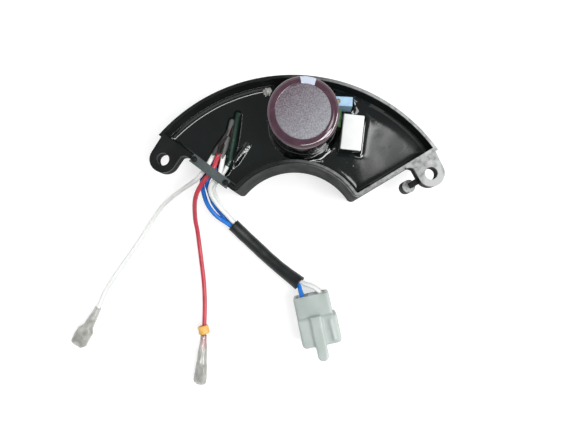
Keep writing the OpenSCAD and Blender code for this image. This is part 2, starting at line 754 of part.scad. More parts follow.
module axial_shape(at, size, grow = 0) {
    length = size[0];
    d = size[1];
    translate([at.x - length / 2 - grow, at.y, board_top + d / 2]) rotate([0, 90, 0])
        cylinder(d = d + 2 * grow, h = length + 2 * grow, $fn = 24);
    for (to = axial_leads(at, size))
        bent_lead([at.x + sign(to.x - at.x) * (length / 2 - grow), at.y], to, board_top + d / 2, grow);
}

module sense_resistors() {
    color("#6f8fa8") for (at = resistor_at) axial_shape(at, resistor_size);
}

module zener_diodes() {
    color("#c05a2c") for (at = zener_at) axial_shape(at, zener_size);
}

// A cap of set adhesive on the resin
module adhesive_dab() {
    dab_radius = 2.2;
    dab_height = 1.6;
    ball = (pow(dab_radius, 2) + pow(dab_height, 2)) / (2 * dab_height);
    color("#e8e8e4") translate([dab_at.x, dab_at.y, resin_level]) rotate_extrude($fn = 32)
        intersection() {
            translate([0, dab_height - ball]) circle(ball);
            square(2 * dab_radius);
        }
}

module white_lead() {
    color("#e9ecea") cord(white_lead_route, wire_d / 2);
}

module red_lead() {
    color("#c83c4b") cord(red_lead_route, wire_d / 2);
}

module blue_wire_a() {
    color("#1478dc") cord(blue_a_route, wire_d / 2);
}

module blue_wire_b() {
    color("#1478dc") cord(blue_b_route, wire_d / 2);
}

module white_wire_a() {
    color("#e9ecea") cord(white_a_route, wire_d / 2);
}

module white_wire_b() {
    color("#e9ecea") cord(white_b_route, wire_d / 2);
}

module harness_sleeve() {
    sides = 12;
    rings = len(harness_route);
    function flare(i) = i == rings - 1 ? harness_flare : 0;
    outside = [for (i = [0:rings - 1])
        each ring(harness_route, i, harness_bore + harness_wall + flare(i), sides)];
    inside = [for (i = [0:rings - 1]) each ring(harness_route, i, harness_bore + flare(i), sides)];
    color("#161c1c") hollow_loft(outside, inside, rings, sides);
}

// A bar along y with rounded long edges
module round_bar(width, height, length, rounding) {
    rotate([90, 0, 180]) linear_extrude(length) {
        translate([-width / 2 + rounding, 0]) square([width - 2 * rounding, height]);
        translate([-width / 2, rounding]) square([width, height - 2 * rounding]);
        for (x = [-1, 1], z = [0, 1])
            translate([x * (width / 2 - rounding), z * height + (1 - 2 * z) * rounding])
            circle(rounding, $fn = 32);
    }
}

contact_size = [6.6, 14, 3.4];
contact_crimp = 3.4;
rib_size = [1.4, 0.6];   // width of the rib beside the latch, and its height above the shroud
shroud_corner = 2.4;     // rounding of the shroud's front corners in plan
shroud_lap = 0.02;       // keeps the round from only touching the flat faces

// Plan of the shroud with both front corners rounded
module shroud_plan(width, front) {
    linear_extrude(3 * plug_height, center = true) {
        translate([-width / 2 - past, 0]) square([width + 2 * past, front - shroud_corner]);
        translate([-width / 2 + shroud_corner, 0]) square([width - 2 * shroud_corner, front + past]);
        for (side = [-1, 1]) translate([side * (width / 2 - shroud_corner), front - shroud_corner])
            circle(shroud_corner + shroud_lap);
    }
}

module connector_housing() {
    shroud_width = plug_width + 2 * shroud_step;
    shroud_height = plug_height + 2 * shroud_step;
    plug_length = plug_rear + shroud_length;
    mouth_wall = 2;
    mouth_base = plug_rear + mouth_wall;
    edge = 1.2;
    latch_base = shroud_height - shroud_wall;
    rib_at = -plug_width / 2 + latch_width / 2;
    color("#c3ccc8") on_wire(plug_at, plug_heading) {
        difference() {
            union() {
                translate([0, 0, shroud_step]) round_bar(plug_width, plug_height, plug_rear + past, edge);
                intersection() {
                    translate([0, plug_rear, 0]) round_bar(shroud_width, shroud_height, shroud_length, edge);
                    shroud_plan(shroud_width, plug_length);
                }
                translate([rib_at - rib_size.x / 2, plug_rear + mouth_wall, latch_base])
                    cube([rib_size.x, shroud_length - 2 * mouth_wall, shroud_wall + rib_size.y]);
            }
            for (x = [-1, 1], z = contact_z)
                translate([x * contact_pitch_x / 2 - contact_size.x / 2 - fit, -past,
                    z - contact_size.z / 2 - fit])
                cube([contact_size.x + 2 * fit, plug_length, contact_size.z + 2 * fit]);
            translate([-shroud_width / 2 + shroud_wall, mouth_base, shroud_wall])
                cube([shroud_width - 2 * shroud_wall, shroud_length, shroud_height - 2 * shroud_wall]);
        }
        translate([-latch_width / 2, plug_rear - past, latch_base])
            cube([latch_width, shroud_length + latch_reach - latch_width / 2 + past, latch_thickness]);
        translate([0, plug_length + latch_reach - latch_width / 2, latch_base])
            cylinder(d = latch_width, h = latch_thickness);
    }
}

// Four box contacts, each with the crimp that holds its wire
module connector_contacts() {
    crimp = 4;
    sheet = 0.6;
    color("#c9b27a") for (side = [-1, 1], row = [0, 1])
        on_wire(contact_mouth(side, row), plug_heading) {
            rotate([-90, 0, 0]) cylinder(d = contact_crimp, h = crimp + past, $fn = 24);
            difference() {
                translate([-contact_size.x / 2, crimp, -contact_size.z / 2])
                    cube([contact_size.x, contact_size.y - crimp, contact_size.z]);
                translate([-contact_size.x / 2 + sheet, crimp + 2 * sheet, -contact_size.z / 2 + sheet])
                    cube([contact_size.x - 2 * sheet, contact_size.y, contact_size.z - 2 * sheet]);
            }
        }
}

// A receptacle terminal: crimp, neck and a blade with both edges rolled in
module receptacle() {
    sheet = 0.8;
    roll_d = 2.6;
    neck = 2;
    blade_length = terminal_length - crimp_length - neck;
    rotate([-90, 0, 0]) cylinder(d = crimp_d, h = crimp_length, $fn = 32);
    translate([-crimp_d / 2, crimp_length - past, -roll_d / 2]) cube([crimp_d, neck + 2 * past, sheet]);
    translate([0, terminal_length, 0]) rotate([90, 0, 0]) linear_extrude(blade_length) {
        translate([-terminal_width / 2 + roll_d / 2, -roll_d / 2]) square([terminal_width - roll_d, sheet]);
        for (side = [-1, 1]) translate([side * (terminal_width - roll_d) / 2, 0]) difference() {
            circle(d = roll_d, $fn = 32);
            circle(d = roll_d - 2 * sheet, $fn = 32);
            translate([side > 0 ? -roll_d : 0, -roll_d / 2 + sheet])
                square([roll_d, roll_d / 2 - sheet + 0.2]);
        }
    }
}

// Insulating sleeve over a terminal: round on the wire, flat and wide over the blade
sleeve_sides = 20;
sleeve_skin = 0.5;
sleeve_tip = 0.5;
sleeve_half = terminal_width / 2 + 0.95;
// Each station: distance from the mouth, half width and half height
sleeve_stations = [[-sleeve_back, 2.3, 2.3], [-1, 2.4, 2.4], [crimp_length - 2, 2.7, 2.45],
    [crimp_length + 1, sleeve_half - 0.35, 2.5], [crimp_length + 4.5, sleeve_half, 2.6],
    [terminal_length - 2, sleeve_half, 2.55], [terminal_length + sleeve_tip, sleeve_half - 0.15, 2.5]];
function squarish(v) = sign(v) * pow(abs(v), 0.75);
function sleeve_rings(thinner) = [for (s = sleeve_stations, k = [0:sleeve_sides - 1])
    let (a = -360 * k / sleeve_sides)
    [(s[1] - thinner) * squarish(cos(a)), s[0], (s[2] - thinner) * squarish(sin(a))]];

module terminal_sleeve() {
    hollow_loft(sleeve_rings(0), sleeve_rings(sleeve_skin), len(sleeve_stations), sleeve_sides);
}

module white_terminal() {
    color("#c8cac6") on_wire(white_mouth, white_heading) receptacle();
}

module white_terminal_sleeve() {
    color("#aaaca5") on_wire(white_mouth, white_heading) terminal_sleeve();
}

module red_terminal() {
    color("#c8cac6") on_wire(red_mouth, red_heading, red_roll) receptacle();
}

module red_terminal_sleeve() {
    color("#aaaca5") on_wire(red_mouth, red_heading, red_roll) terminal_sleeve();
}

module marker_sleeve() {
    color("#f0b446") on_wire(marker_at, red_heading) rotate([-90, 0, 0])
        translate([0, 0, -marker_length / 2]) difference() {
            cylinder(d = marker_d, h = marker_length, $fn = 48);
            translate([0, 0, -past]) cylinder(d = marker_d - 2 * marker_wall,
                h = marker_length + 2 * past, $fn = 48);
        }
}

case();
clamp_bar();
potting_resin();
main_board();
control_board();
capacitor_can();
capacitor_sleeve();
capacitor_end_disc();
capacitor_pins();
film_capacitor();
film_capacitor_leads();
trimmer_body();
trimmer_screw();
trimmer_pins();
bridge_rectifier();
power_transistor();
optocoupler();
driver_chip();
sense_resistors();
zener_diodes();
adhesive_dab();
white_lead();
red_lead();
blue_wire_a();
blue_wire_b();
white_wire_a();
white_wire_b();
harness_sleeve();
connector_housing();
connector_contacts();
white_terminal();
white_terminal_sleeve();
red_terminal();
red_terminal_sleeve();
marker_sleeve();
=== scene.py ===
import math
import random

import bmesh
import bpy
from mathutils import Matrix, Vector, noise


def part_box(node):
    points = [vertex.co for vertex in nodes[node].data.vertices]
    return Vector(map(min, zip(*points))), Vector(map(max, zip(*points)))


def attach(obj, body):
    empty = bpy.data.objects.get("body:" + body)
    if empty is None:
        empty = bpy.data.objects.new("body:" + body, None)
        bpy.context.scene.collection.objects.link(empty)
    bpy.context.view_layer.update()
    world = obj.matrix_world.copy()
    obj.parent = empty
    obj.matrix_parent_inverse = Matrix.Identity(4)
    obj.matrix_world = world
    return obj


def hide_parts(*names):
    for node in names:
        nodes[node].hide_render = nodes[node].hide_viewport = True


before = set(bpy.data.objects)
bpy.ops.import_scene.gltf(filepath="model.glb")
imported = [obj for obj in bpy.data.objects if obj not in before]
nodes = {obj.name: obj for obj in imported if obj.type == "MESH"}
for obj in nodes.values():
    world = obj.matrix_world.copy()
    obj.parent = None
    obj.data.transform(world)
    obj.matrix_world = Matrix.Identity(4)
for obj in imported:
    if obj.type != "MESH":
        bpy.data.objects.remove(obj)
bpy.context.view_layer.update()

scene = bpy.context.scene
MM = 0.001
TURN = 2 * math.pi
UP = Vector((0, 0, 1))
ROOT = "regulator"

# Sizes and places that part.scad gives, in millimetres
OUTER_RADIUS, INNER_RADIUS, INNER_OFFSET, END_ANGLE = 94, 38, 9.2, math.radians(56)
TRAY_HEIGHT, WALL, RIM_STEP, POST_HEIGHT, SLOT_SET_BACK = 33, 2.2, 1.6, 24, 17.4
RESIN_LEVEL = 21.5
CAPACITOR_AT, CAPACITOR_RADIUS = (2, 6.875), 17.5
FILM_SIZE, FILM_AT, FILM_TOP, FILM_TURN = (10.9, 18.5, 19), (27.85, 2.875), 33, -3.5
DAB_AT = (-18.55, 25.02)
WIRE_D, BUNDLE = 2.5, 1.3
HARNESS_BORE, HARNESS_WALL, HARNESS_FLARE = 3.3, 0.4, 0.6
PLUG_AT, PLUG_HEADING, PLUG_REAR, PLUG_RUN = Vector((11, -85.5, 0)), 15, 13, 5
CONTACT_RECESS, CONTACT_PITCH, CONTACT_LOW, CONTACT_HIGH = 4, 10, 4.5, 11.5
WHITE_MOUTH, WHITE_HEADING = Vector((-117, -108.4, 2.7)), -26.5
RED_MOUTH, RED_HEADING, RED_ROLL = Vector((-50.3, -125, 4.4)), -1.5, 50
TERMINAL_RUN, SLEEVE_BACK = 9, 8.5
MARKER_AT, MARKER_RADIUS, MARKER_WALL, MARKER_LENGTH = Vector((-50.4, -110.5, 3.2)), 3.2, 0.8, 5
SLEEVE_STATIONS = [(-1, 2.4, 2.4), (4, 2.7, 2.45), (7, 4.3, 2.5),
                   (10.5, 4.65, 2.6), (14, 4.65, 2.55), (16.5, 4.5, 2.5)]

# Places worked out from them: the centres of the tray's two arcs, and the wire slot's middle
FRAME_Y = (OUTER_RADIUS + INNER_OFFSET + INNER_RADIUS * math.cos(END_ANGLE)) / 2
OUTER_Y, INNER_Y = -FRAME_Y, INNER_OFFSET - FRAME_Y
SLOT_ALONG = INNER_RADIUS + SLOT_SET_BACK

# Sizes that only the scene has, in millimetres
SHROUD_SHIFT, FILM_EDGE, RED_COVER_BACK = 0.9, 0.7, 3.1
RESIN_INSET = WALL + 0.05


def eased(value, low, high):
    """From 0 at low to 1 at high, with soft ends."""
    t = min(1.0, max(0.0, (value - low) / (high - low)))
    return t * t * (3 - 2 * t)


# Routes
def points(*rows):
    return [Vector(row) for row in rows]


def by_slot(*rows):
    """Points near the wire slot: along the end wall from its middle, out of the tray, and height."""
    s, c = math.sin(END_ANGLE), math.cos(END_ANGLE)
    route = []
    for along, out, z in rows:
        reach = SLOT_ALONG + along
        route.append(Vector((-reach * s - out * c, INNER_Y + reach * c - out * s, z)))
    return route


def forward(heading):
    a = math.radians(heading)
    return Vector((math.sin(a), -math.cos(a), 0))


def heading_at(route, i):
    return (route[min(i + 1, len(route) - 1)] - route[max(i - 1, 0)]).normalized()


def side_at(route, i):
    return heading_at(route, i).cross(UP).normalized()


def beside(route, side, up):
    return [p + side * side_at(route, i) + up * UP for i, p in enumerate(route)]


def run_in(mouth, heading, length):
    """The straight end of a route, into a terminal or contact."""
    return [mouth - length * forward(heading), mouth]


def run_to_contact(side, z):
    a = math.radians(PLUG_HEADING)
    across = Vector((math.cos(a), math.sin(a), 0))
    mouth = PLUG_AT + CONTACT_RECESS * forward(PLUG_HEADING) + side * CONTACT_PITCH / 2 * across + z * UP
    return run_in(mouth, PLUG_HEADING, PLUG_RUN)


def smooth(route, count):
    """Evenly spaced points on a Catmull-Rom curve through a route."""
    steps = 16
    ends = [2 * route[0] - route[1]] + route + [2 * route[-1] - route[-2]]
    line = []
    for i in range(1, len(ends) - 2):
        a, b, c, d = ends[i - 1:i + 3]
        for k in range(steps):
            t = k / steps
            line.append(0.5 * (2 * b + (c - a) * t + (2 * a - 5 * b + 4 * c - d) * t * t
                               + (3 * b - a - 3 * c + d) * t ** 3))
    line.append(route[-1])
    run = [0.0]
    for p, q in zip(line, line[1:]):
        run.append(run[-1] + (q - p).length)
    even, j = [], 0
    for k in range(count):
        at = run[-1] * k / (count - 1)
        while j < len(line) - 2 and run[j + 1] < at:
            j += 1
        length = run[j + 1] - run[j]
        even.append(line[j].lerp(line[j + 1], (at - run[j]) / length if length else 0))
    return even


HARNESS = points((-36, -48, 6), (-24, -58.5, 3.9), (-10, -70, 4.2), (4.5, -80, 7))
WHITE_LEAD = by_slot(
    (5.7, -9, 24), (4.1, -2.7, 27.4), (4.1, 4.4, 26.9), (5.9, 9.2, 23.8), (9.7, 16.1, 18)) + points(
    (-71, -34.4, 11), (-78, -40, 6), (-84, -48, 3), (-90, -58, 1.6), (-97.5, -70, 1.4),
    (-104, -80.4, 1.4), (-110, -91, 1.6)) + run_in(WHITE_MOUTH, WHITE_HEADING, TERMINAL_RUN)
RED_LEAD = by_slot(
    (3.6, -11.4, 25.6), (0.6, -2.8, 27.5), (0.7, 4.5, 27.4), (0.7, 11.3, 25), (-0.3, 17.8, 19.2)) + points(
    (-57.2, -45.8, 10), (-56.8, -52, 5.4), (-56, -60, 2.2), (-54.2, -71, 1.5), (-52.2, -83, 1.4),
    (-51, -95, 1.6), (-50.4, -107, 2.6)) + run_in(RED_MOUTH, RED_HEADING, TERMINAL_RUN)
BLUE_A = by_slot(
    (2.8, -8.4, 22.9), (3, -2.9, 23.9), (3, 4.5, 23.9), (-0.8, 10, 21.2), (-6.2, 15.3, 13.6),
    (-13.4, 17.5, 8.9)) + beside(HARNESS, BUNDLE, BUNDLE) + points(
    (5, -84, 10)) + run_to_contact(-1, CONTACT_HIGH)
BLUE_B = by_slot(
    (-0.3, -8.4, 22.9), (0.2, -2.8, 23.9), (0, 4.4, 23.9), (-3.5, 8.5, 19.6), (-7.9, 12.9, 11.4),
    (-14.4, 15.3, 6.2)) + beside(HARNESS, BUNDLE, -BUNDLE) + points(
    (5, -84, 4.9)) + run_to_contact(-1, CONTACT_LOW)
WHITE_A = by_slot(
    (1.1, -12.3, 25), (-3.6, -2.8, 27.5), (-3.7, 4.5, 27.3), (-6, 8.7, 23.8), (-11.3, 11.6, 16.8),
    (-17.1, 13.3, 10.8)) + beside(HARNESS, -BUNDLE, BUNDLE) + points(
    (10.2, -80.6, 10.2)) + run_to_contact(1, CONTACT_HIGH)
WHITE_B = by_slot(
    (-3.6, -8.5, 23.3), (-4.4, -2.8, 23.9), (-4.5, 4.4, 23.9), (-7.1, 8.2, 18.6), (-11.8, 11.3, 10.8),
    (-17.8, 13.3, 6)) + beside(HARNESS, -BUNDLE, -BUNDLE) + points(
    (10.2, -80.6, 4.8)) + run_to_contact(1, CONTACT_LOW)


# Shader nodes
def add(tree, kind, inputs=None, **settings):
    """Adds a node. An input takes another node's output or a plain value."""
    n = tree.nodes.new(kind)
    for key, value in settings.items():
        setattr(n, key, value)
    for key, value in (inputs or {}).items():
        if isinstance(value, bpy.types.NodeSocket):
            tree.links.new(value, n.inputs[key])
        else:
            n.inputs[key].default_value = value
    return n


def tone(color):
    return (*color, 1.0)


def coords(tree):
    return add(tree, "ShaderNodeTexCoord").outputs["Object"]


def split(tree, vector):
    return add(tree, "ShaderNodeSeparateXYZ", {0: vector}).outputs


def cloud(tree, scale, detail=4.0):
    inputs = {"Vector": coords(tree), "Scale": scale, "Detail": detail}
    return add(tree, "ShaderNodeTexNoise", inputs).outputs["Fac"]


def span(tree, value, low, high, to_low=0.0, to_high=1.0):
    """Maps low to high onto to_low to to_high, and stops at both ends."""
    inputs = {"Value": value, "From Min": low, "From Max": high, "To Min": to_low, "To Max": to_high}
    return add(tree, "ShaderNodeMapRange", inputs).outputs["Result"]


def span_mm(tree, value, low, high, to_low=0.0, to_high=1.0):
    return span(tree, value, low * MM, high * MM, to_low, to_high)


def worked(tree, operation, a, b=0.0):
    return add(tree, "ShaderNodeMath", {0: a, 1: b}, operation=operation).outputs["Value"]


def times(tree, a, b):
    return worked(tree, "MULTIPLY", a, b)


def larger(tree, a, b):
    return worked(tree, "MAXIMUM", a, b)


def between(tree, fac, a, b):
    """A number between two numbers."""
    return add(tree, "ShaderNodeMix", {0: fac, 2: a, 3: b}).outputs[0]


def mixed(tree, fac, a, b):
    """A colour between two colours."""
    return add(tree, "ShaderNodeMix", {0: fac, 6: a, 7: b}, data_type="RGBA").outputs[2]


# Materials
def material(name, dark, light, rough, patch=180.0, grain=2500.0, bump=0.15, depth=0.00006,
             round_edge=0.0, **sockets):
    """Two tones in soft patches, a roughness that varies, and a fine grain in the surface.

    The grain's depth and the radius of rounded edges are in metres."""
    m = bpy.data.materials.new(name)
    m.use_nodes = True
    tree = m.node_tree
    shader = tree.nodes["Principled BSDF"]
    patches, grains = cloud(tree, patch), cloud(tree, grain, 2.0)
    color = mixed(tree, span(tree, patches, 0.35, 0.65), tone(dark), tone(light))
    tree.links.new(color, shader.inputs["Base Color"])
    tree.links.new(span(tree, patches, 0.3, 0.7, rough * 0.85, rough * 1.15), shader.inputs["Roughness"])
    height = {"Height": grains, "Strength": bump, "Distance": depth}
    if round_edge:
        height["Normal"] = add(tree, "ShaderNodeBevel", {"Radius": round_edge}, samples=4).outputs["Normal"]
    tree.links.new(add(tree, "ShaderNodeBump", height).outputs["Normal"], shader.inputs["Normal"])
    for key, value in sockets.items():
        shader.inputs[key.replace("_", " ")].default_value = value
    return m


def opened(m):
    """A material's tree and shader, and what its colour and roughness come from."""
    tree = m.node_tree
    shader = tree.nodes["Principled BSDF"]
    base, rough = (shader.inputs[key].links[0].from_socket for key in ("Base Color", "Roughness"))
    return tree, shader, base, rough


def tray_material():
    """Black moulding, with a painted highlight for glare: pale blotches on the up-facing faces of the right
    ear, the post's end and the rim's right half.
    """
    m = material("tray_moulding", (0.006, 0.007, 0.0072), (0.0115, 0.013, 0.0135), 0.72, patch=90,
                 grain=1800, bump=0.25, round_edge=0.0005, Specular_IOR_Level=0.25)
    # pale is the colour of the painted glare
    ear_x, rim_x, post_x, pale = (62, 67), (-10, 45), (50, 51), (0.47, 0.48, 0.48)
    top_rough, glare_rough, step = 0.4, 0.3, 0.2
    tree, shader, base, rough = opened(m)
    place = split(tree, coords(tree))
    facing = split(tree, add(tree, "ShaderNodeNewGeometry").outputs["Normal"])["Z"]
    # noise that breaks the painted glare into blotches and specks
    glare_blotches = span(tree, cloud(tree, 140, 3.0), 0.34, 0.52)
    glare_breakup = span(tree, cloud(tree, 420, 5.0), 0.3, 0.6, 0.35, 0.8)
    specks = span(tree, cloud(tree, 700, 4.0), 0.35, 0.55, 0.6, 1)
    rim_low = TRAY_HEIGHT - RIM_STEP
    top = span_mm(tree, place["Z"], rim_low - step, rim_low)
    ear = times(tree, span_mm(tree, place["X"], *ear_x), times(tree, glare_blotches, top))
    rim = times(tree, span_mm(tree, place["X"], *rim_x), times(tree, top, glare_breakup))
    post_top = times(tree, span_mm(tree, place["Z"], POST_HEIGHT - 2 * step, POST_HEIGHT - step),
                     span_mm(tree, place["Z"], POST_HEIGHT + step, POST_HEIGHT + 2 * step, 1, 0))
    post = times(tree, times(tree, post_top, span_mm(tree, place["X"], *post_x)), specks)
    # painted highlight: glare on the right ear, the rim and the post's end, kept to faces that look up
    painted_glare = larger(tree, larger(tree, ear, rim), post)
    painted_glare = times(tree, painted_glare, span(tree, facing, 0.5, 0.85))
    gloss = between(tree, top, rough, top_rough)
    tree.links.new(mixed(tree, painted_glare, base, tone(pale)), shader.inputs["Base Color"])
    tree.links.new(between(tree, painted_glare, gloss, glare_rough), shader.inputs["Roughness"])
    return m


def coated(m, top, fade, ragged, front=None):
    """Paints shade in resin's black over a material below a ragged line: full at top - fade, none at top.

    With front, only the part that lies before that place along Y is covered. All are in millimetres."""
    # the black and gloss of resin, here standing in for shade
    color, gloss, front_fade = (0.007, 0.0095, 0.0095), 0.1, 0.4
    tree, shader, base, rough = opened(m)
    place = split(tree, coords(tree))
    wave = span(tree, cloud(tree, 160, 2.0), 0.3, 0.7, -ragged * MM, ragged * MM)
    painted_shade = span_mm(tree, worked(tree, "ADD", place["Z"], wave), top - fade, top, 1.0, 0.0)
    if front is not None:
        painted_shade = times(tree, painted_shade, span_mm(tree, place["Y"], front, front + front_fade, 1.0, 0.0))
    tree.links.new(mixed(tree, painted_shade, base, tone(color)), shader.inputs["Base Color"])
    tree.links.new(between(tree, painted_shade, rough, gloss), shader.inputs["Roughness"])
    return m


def sleeve_material():
    """Shrink sleeve with a plain pale mark on its end, and painted shade in resin's black down its side.

    The mark widens outwards: spread is half its width over its distance from the middle."""
    m = material("shrink_sleeve", (0.058, 0.024, 0.038), (0.08, 0.036, 0.054), 0.1, patch=240,
                 grain=3200, bump=0.05, Specular_IOR_Level=1.0)
    shift, spread, start, pale = 1.6, 0.235, 8, (0.56, 0.62, 0.74)
    tree, shader, base, _ = opened(m)
    place = split(tree, coords(tree))
    out = worked(tree, "SUBTRACT", place["Y"], CAPACITOR_AT[1] * MM)
    across = worked(tree, "SUBTRACT", place["X"], (CAPACITOR_AT[0] + shift) * MM)
    slope = worked(tree, "DIVIDE", worked(tree, "ABSOLUTE", across), out)
    mark = times(tree, span(tree, slope, spread, spread + 0.008, 1.0, 0.0),
                 span_mm(tree, out, start, start + 0.1))
    tree.links.new(mixed(tree, mark, base, tone(pale)), shader.inputs["Base Color"])
    # painted shade: black up to 45 mm, fading out by 50 mm, for the side's shade
    return coated(m, top=50, fade=5, ragged=1.5)


def disc_material():
    """Pebbled end disc, with a painted sheen that makes it paler, in specks, towards one side."""
    m = material("end_disc_grain", (0.06, 0.044, 0.057), (0.22, 0.185, 0.215), 0.4, patch=1500,
                 grain=1700, bump=0.8, depth=0.00016)
    pale, middle = (0.36, 0.38, 0.41), CAPACITOR_AT[0] - CAPACITOR_AT[1]
    tree, shader, base, _ = opened(m)
    place = split(tree, coords(tree))
    across = worked(tree, "SUBTRACT", place["X"], place["Y"])
    specks = span(tree, cloud(tree, 1300, 3.0), 0.32, 0.68, 0.3, 1.0)
    # painted sheen: paler towards +X and -Y
    painted_sheen = times(tree, span_mm(tree, across, middle - 16, middle + 20), specks)
    tree.links.new(mixed(tree, painted_sheen, base, tone(pale)), shader.inputs["Base Color"])
    return m


def tint_over(m):
    """Lays the mesh's own tint over a material's colour."""
    tree, shader, base, _ = opened(m)
    tint = add(tree, "ShaderNodeAttribute", attribute_name="tint").outputs
    tree.links.new(mixed(tree, tint["Alpha"], base, tint["Color"]), shader.inputs["Base Color"])
    return m


def resin_material():
    """Glossy black resin, hazy round one place on the right."""
    m = tint_over(material("potting_resin_gloss", (0.005, 0.0075, 0.0075), (0.008, 0.011, 0.011), 0.13,
                           patch=70, grain=420, bump=0.05, depth=0.0002, Specular_IOR_Level=0.8))
    haze_at, haze_full, haze_end = (60 * MM, -10 * MM, RESIN_LEVEL * MM), 8, 30
    clear_rough, haze_rough = 0.07, 0.34
    tree, shader, _, _ = opened(m)
    away = add(tree, "ShaderNodeVectorMath", {0: coords(tree), 1: haze_at}, operation="DISTANCE")
    patches = span(tree, cloud(tree, 90, 6.0), 0.35, 0.65, 0.7, 1)
    haze = times(tree, span_mm(tree, away.outputs["Value"], haze_end, haze_full), patches)
    tree.links.new(span(tree, haze, 0.0, 1.0, clear_rough, haze_rough), shader.inputs["Roughness"])
    return m


def film_material():
    """White case, with painted shade in resin's black over its front face."""
    m = material("film_case", (0.8, 0.82, 0.81), (0.85, 0.87, 0.86), 0.38, patch=160, grain=2200, bump=0.1)
    # painted shade: the front face goes black up to just under its top
    return coated(m, top=FILM_TOP - 0.4, fade=0.5, ragged=0.3,
                  front=FILM_AT[1] - FILM_SIZE[1] / 2 + FILM_EDGE)


def clear_material():
    """Half-clear plastic that takes on the wire's colour."""
    return tint_over(material("clear_sleeve", (0.38, 0.385, 0.35), (0.62, 0.63, 0.59), 0.09, patch=260,
                              grain=700, bump=0.25, depth=0.0002, Alpha=0.6, Specular_IOR_Level=0.8))


def insulation(name, dark, light, rough, patch):
    return material(name, dark, light, rough, patch=patch, grain=2400, bump=0.08)


MATERIALS = {
    "case": tray_material(),
    "clamp_bar": material("clamp_moulding", (0.05, 0.063, 0.064), (0.072, 0.09, 0.092), 0.62, patch=320,
                          grain=1500, bump=0.4, round_edge=0.0005),
    "board": material("circuit_board", (0.035, 0.12, 0.03), (0.075, 0.2, 0.055), 0.4, patch=420,
                      grain=1800),
    "can": material("can_aluminium", (0.52, 0.53, 0.55), (0.6, 0.61, 0.63), 0.32, Metallic=1.0),
    "sleeve": sleeve_material(),
    "disc": disc_material(),
    "lead": material("tinned_lead", (0.55, 0.55, 0.53), (0.66, 0.66, 0.64), 0.3, Metallic=1.0),
    "film": film_material(),
    "trimmer": material("trimmer_case", (0.31, 0.5, 0.7), (0.4, 0.59, 0.77), 0.35, patch=500, grain=2600,
                        bump=0.1, round_edge=0.0003),
    "brass": material("brass_screw", (0.5, 0.42, 0.26), (0.6, 0.52, 0.34), 0.34, Metallic=1.0),
    "black": material("moulded_package", (0.015, 0.015, 0.015), (0.024, 0.024, 0.024), 0.5, grain=3000),
    "ivory": material("pale_package", (0.68, 0.68, 0.62), (0.76, 0.76, 0.7), 0.5, grain=3000),
    "resistor": material("resistor_coat", (0.13, 0.24, 0.35), (0.19, 0.32, 0.45), 0.25),
    "diode": material("diode_coat", (0.4, 0.09, 0.025), (0.55, 0.14, 0.04), 0.2),
    "adhesive": material("adhesive_white", (0.8, 0.8, 0.78), (0.88, 0.88, 0.86), 0.42, patch=900,
                         grain=1600),
    "white_wire": insulation("white_insulation", (0.78, 0.8, 0.77), (0.86, 0.88, 0.86), 0.36, 110),
    "red_wire": insulation("red_insulation", (0.44, 0.03, 0.05), (0.58, 0.05, 0.078), 0.34, 150),
    "blue_wire": insulation("blue_insulation", (0.006, 0.14, 0.56), (0.01, 0.22, 0.74), 0.32, 150),
    "harness": material("black_tubing", (0.0065, 0.0085, 0.0085), (0.0105, 0.0135, 0.0135), 0.4, patch=140,
                        grain=900, bump=0.2),
    "nylon": material("milky_nylon", (0.38, 0.43, 0.41), (0.45, 0.5, 0.48), 0.36, patch=90, grain=1300,
                      bump=0.1, Subsurface_Weight=0.9, Subsurface_Scale=0.004,
                      Subsurface_Radius=(1.0, 1.0, 0.9)),
    "contact": material("contact_brass", (0.5, 0.4, 0.18), (0.62, 0.5, 0.24), 0.3, Metallic=1.0),
    "terminal": material("tinned_terminal", (0.6, 0.6, 0.56), (0.76, 0.76, 0.72), 0.26, Metallic=1.0),
    "clear": clear_material(),
    "marker": material("marker_plastic", (0.76, 0.42, 0.09), (0.86, 0.52, 0.15), 0.42, patch=600,
                       grain=1800),
    "resin": resin_material(),
}

NODE_MATERIALS = {
    "case": "case", "clamp_bar": "clamp_bar", "main_board": "board", "control_board": "board",
    "capacitor_can": "can", "capacitor_end_disc": "disc",
    "capacitor_pins": "lead", "film_capacitor_leads": "lead", "trimmer_body": "trimmer",
    "trimmer_screw": "brass", "trimmer_pins": "lead", "bridge_rectifier": "black",
    "power_transistor": "black", "optocoupler": "ivory", "driver_chip": "black",
    "sense_resistors": "resistor", "zener_diodes": "diode",
    "connector_contacts": "contact", "white_terminal": "terminal", "red_terminal": "terminal",
}
for node, key in NODE_MATERIALS.items():
    for material_slot in nodes[node].material_slots:
        material_slot.material = MATERIALS[key]


# Meshes and pieces
def turns(sides):
    return [TURN * k / sides for k in range(sides)]


def round_noise(a, scale, along):
    """Noise that closes on itself round a ring."""
    return noise.noise(Vector((scale * math.cos(a), scale * math.sin(a), along)))


def shade_smooth(mesh):
    for p in mesh.polygons:
        p.use_smooth = True


def outward(mesh):
    """Turns every face's normal out of the solid."""
    bm = bmesh.new()
    bm.from_mesh(mesh)
    bmesh.ops.recalc_face_normals(bm, faces=bm.faces)
    bm.to_mesh(mesh)
    bm.free()


def mesh_of(name, verts, faces):
    """A smooth closed mesh from points in millimetres."""
    mesh = bpy.data.meshes.new(name)
    mesh.from_pydata([Vector(v) * MM for v in verts], [], faces)
    mesh.update()
    shade_smooth(mesh)
    outward(mesh)
    return mesh


def mesh_from(bm, name):
    mesh = bpy.data.meshes.new(name)
    bm.to_mesh(mesh)
    bm.free()
    shade_smooth(mesh)
    return mesh


